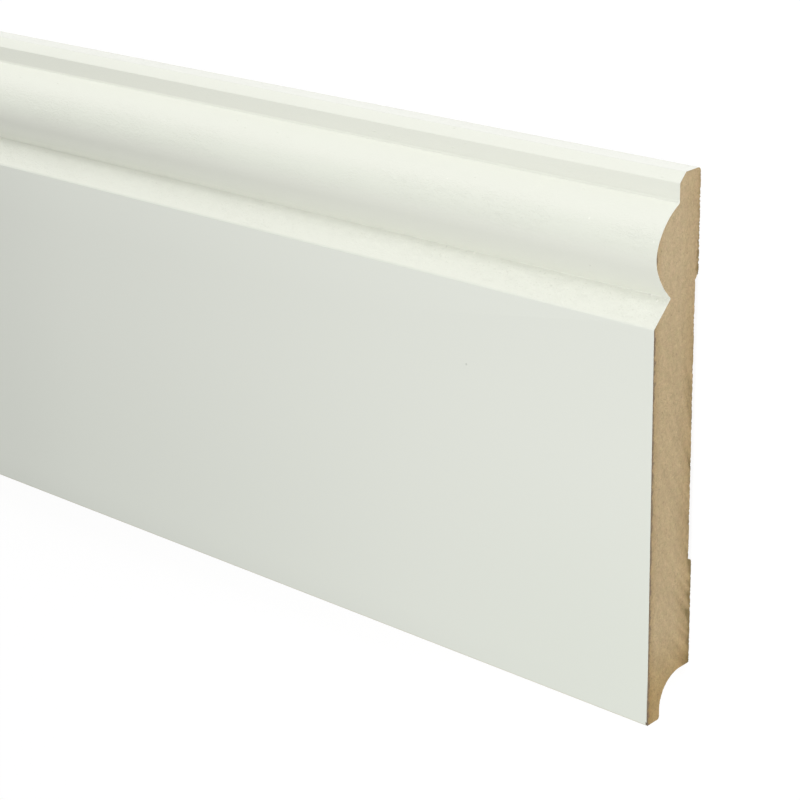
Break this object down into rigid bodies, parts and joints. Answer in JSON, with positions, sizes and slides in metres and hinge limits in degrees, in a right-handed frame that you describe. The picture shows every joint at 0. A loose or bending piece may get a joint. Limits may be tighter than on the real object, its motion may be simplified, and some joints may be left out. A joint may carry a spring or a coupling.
{
  "type": "skirting board length",
  "caption": "Straight skirting board with a torus moulding along its top, a relieved back and a cable rebate, primed white on face and top, bare fibreboard at the back and sawn ends.",
  "frame": {"origin": "middle of the underside, on the floor that the back pads lie on", "axes": "+X along the board's length, +Y towards the moulded top edge, +Z out of the moulded face, away from the wall that the back is fixed to"},
  "size_m": [2.4, 0.12, 0.015],
  "materials": {
    "primed_fibreboard": "satin white priming lacquer on the moulded face and the top edge, bare brown fibreboard on the back, in the rebate, on the foot and on the sawn ends"
  },
  "bodies": {
    "root": {"skirting_board": "primed_fibreboard"}
  },
  "joints": []
}
